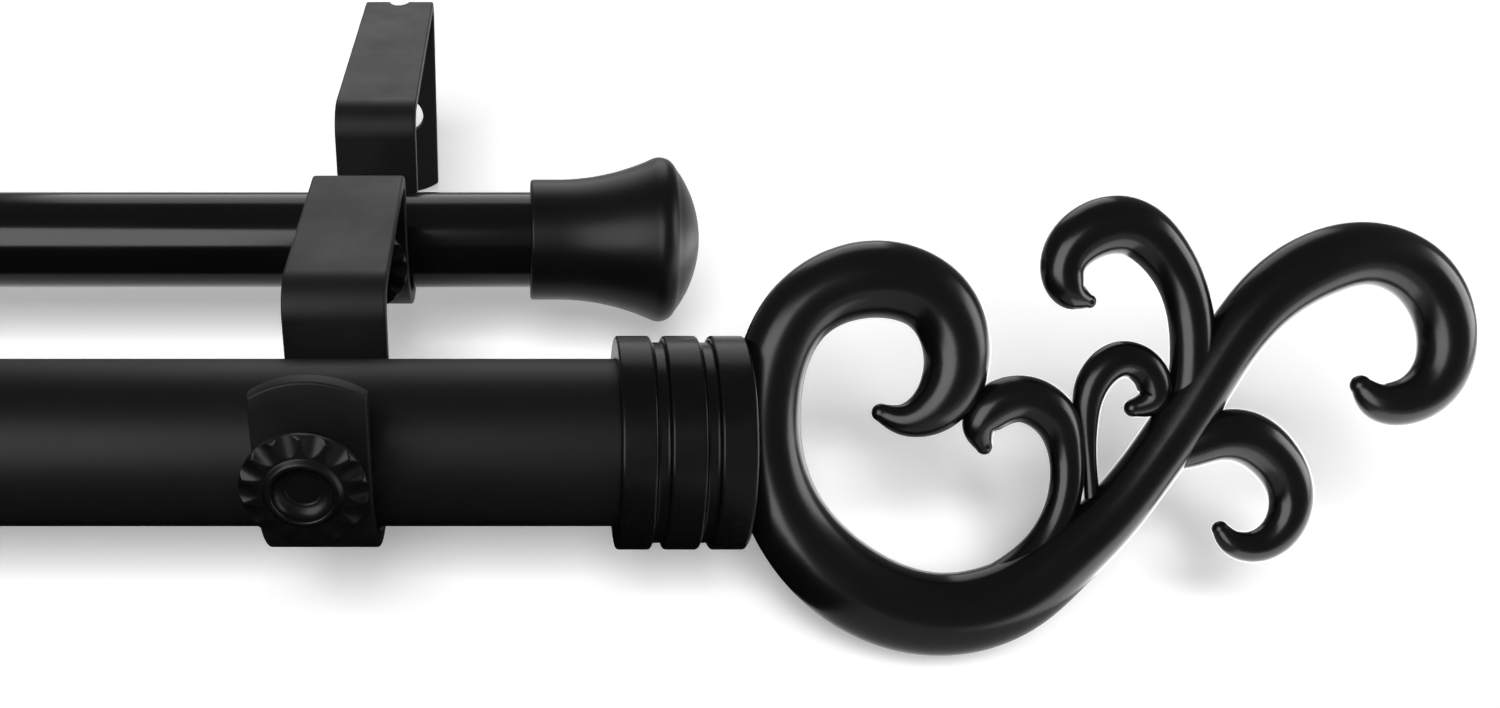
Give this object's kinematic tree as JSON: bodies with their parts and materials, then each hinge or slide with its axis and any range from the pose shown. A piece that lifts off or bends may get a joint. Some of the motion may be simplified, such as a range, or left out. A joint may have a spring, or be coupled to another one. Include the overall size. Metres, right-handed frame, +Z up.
{
  "type": "double curtain pole",
  "caption": "Black double curtain pole: telescoping tubes in bent-strip wall brackets with thumb screws, scroll finials on the front pole and flared caps on the rear one.",
  "frame": {"origin": "midway between the right bracket's two screw holes, on the wall face of its plate", "axes": "+X along the poles towards the right-hand finial, +Y into the wall, +Z up"},
  "size_m": [0.9398, 0.2071, 0.0665],
  "materials": {
    "bracket_powder_coat": "fine matt black powder coat on steel strip",
    "front_pole_paint": "satin black paint on steel tube",
    "rear_pole_paint": "semi-gloss black paint on steel tube",
    "collar_paint": "semi-gloss black paint on a turned collar",
    "finial_enamel": "semi-gloss black enamel on a cast scroll",
    "cap_enamel": "satin black enamel on a turned cap",
    "knob_plastic": "semi-gloss black moulded knob",
    "plug_plastic": "matt black moulded plug",
    "screw_steel": "zinc-plated steel thread"
  },
  "bodies": {
    "wall_mounted": {"bracket_right": "bracket_powder_coat", "bracket_left": "bracket_powder_coat", "front_outer_tube": "front_pole_paint", "rear_outer_tube": "rear_pole_paint", "collar_right": "collar_paint", "finial_right": "finial_enamel", "finial_stud_right": "screw_steel", "front_plug_right": "plug_plastic", "end_cap_right": "cap_enamel"},
    "front_slider": {"front_inner_tube": "front_pole_paint", "front_plug_left": "plug_plastic", "finial_stud_left": "screw_steel", "collar_left": "collar_paint", "finial_left": "finial_enamel"},
    "rear_slider": {"rear_inner_tube": "rear_pole_paint", "end_cap_left": "cap_enamel"},
    "screw_front_right": {"thumb_stud_front_right": "screw_steel"},
    "knob_front_right": {"thumb_knob_front_right": "knob_plastic"},
    "screw_front_left": {"thumb_stud_front_left": "screw_steel"},
    "knob_front_left": {"thumb_knob_front_left": "knob_plastic"},
    "screw_rear_right": {"thumb_stud_rear_right": "screw_steel"},
    "knob_rear_right": {"thumb_knob_rear_right": "knob_plastic"},
    "screw_rear_left": {"thumb_stud_rear_left": "screw_steel"},
    "knob_rear_left": {"thumb_knob_rear_left": "knob_plastic"}
  },
  "joints": [
    {"name": "front_pole_slide", "type": "slide", "parent": "wall_mounted", "child": "front_slider", "axis": [-1, 0, 0], "range_m": [0, 0.5]},
    {"name": "rear_pole_slide", "type": "slide", "parent": "wall_mounted", "child": "rear_slider", "axis": [-1, 0, 0], "range_m": [0, 0.5]},
    {"name": "screw_front_right_travel", "type": "slide", "parent": "wall_mounted", "child": "screw_front_right", "axis": [0, -1, 0], "range_m": [0, 0.0024]},
    {"name": "knob_front_right_turn", "type": "hinge", "parent": "screw_front_right", "child": "knob_front_right", "pos_m": [0, -0.1976, 0.01805], "axis": [0, -1, 0], "range_deg": [0, 1080]},
    {"name": "screw_front_left_travel", "type": "slide", "parent": "wall_mounted", "child": "screw_front_left", "axis": [0, -1, 0], "range_m": [0, 0.0024]},
    {"name": "knob_front_left_turn", "type": "hinge", "parent": "screw_front_left", "child": "knob_front_left", "pos_m": [-0.591, -0.1976, 0.01805], "axis": [0, -1, 0], "range_deg": [0, 1080]},
    {"name": "screw_rear_right_travel", "type": "slide", "parent": "wall_mounted", "child": "screw_rear_right", "axis": [0, -1, 0], "range_m": [0, 0.0024]},
    {"name": "knob_rear_right_turn", "type": "hinge", "parent": "screw_rear_right", "child": "knob_rear_right", "pos_m": [0, -0.1166, 0.01227], "axis": [0, -1, 0], "range_deg": [0, 1080]},
    {"name": "screw_rear_left_travel", "type": "slide", "parent": "wall_mounted", "child": "screw_rear_left", "axis": [0, -1, 0], "range_m": [0, 0.0024]},
    {"name": "knob_rear_left_turn", "type": "hinge", "parent": "screw_rear_left", "child": "knob_rear_left", "pos_m": [-0.591, -0.1166, 0.01227], "axis": [0, -1, 0], "range_deg": [0, 1080]}
  ],
  "couplings": [
    {"joint": "knob_front_right_turn", "follows": "screw_front_right_travel", "rad_per_m": 7854},
    {"joint": "knob_front_left_turn", "follows": "screw_front_left_travel", "rad_per_m": 7854},
    {"joint": "knob_rear_right_turn", "follows": "screw_rear_right_travel", "rad_per_m": 7854},
    {"joint": "knob_rear_left_turn", "follows": "screw_rear_left_travel", "rad_per_m": 7854}
  ]
}
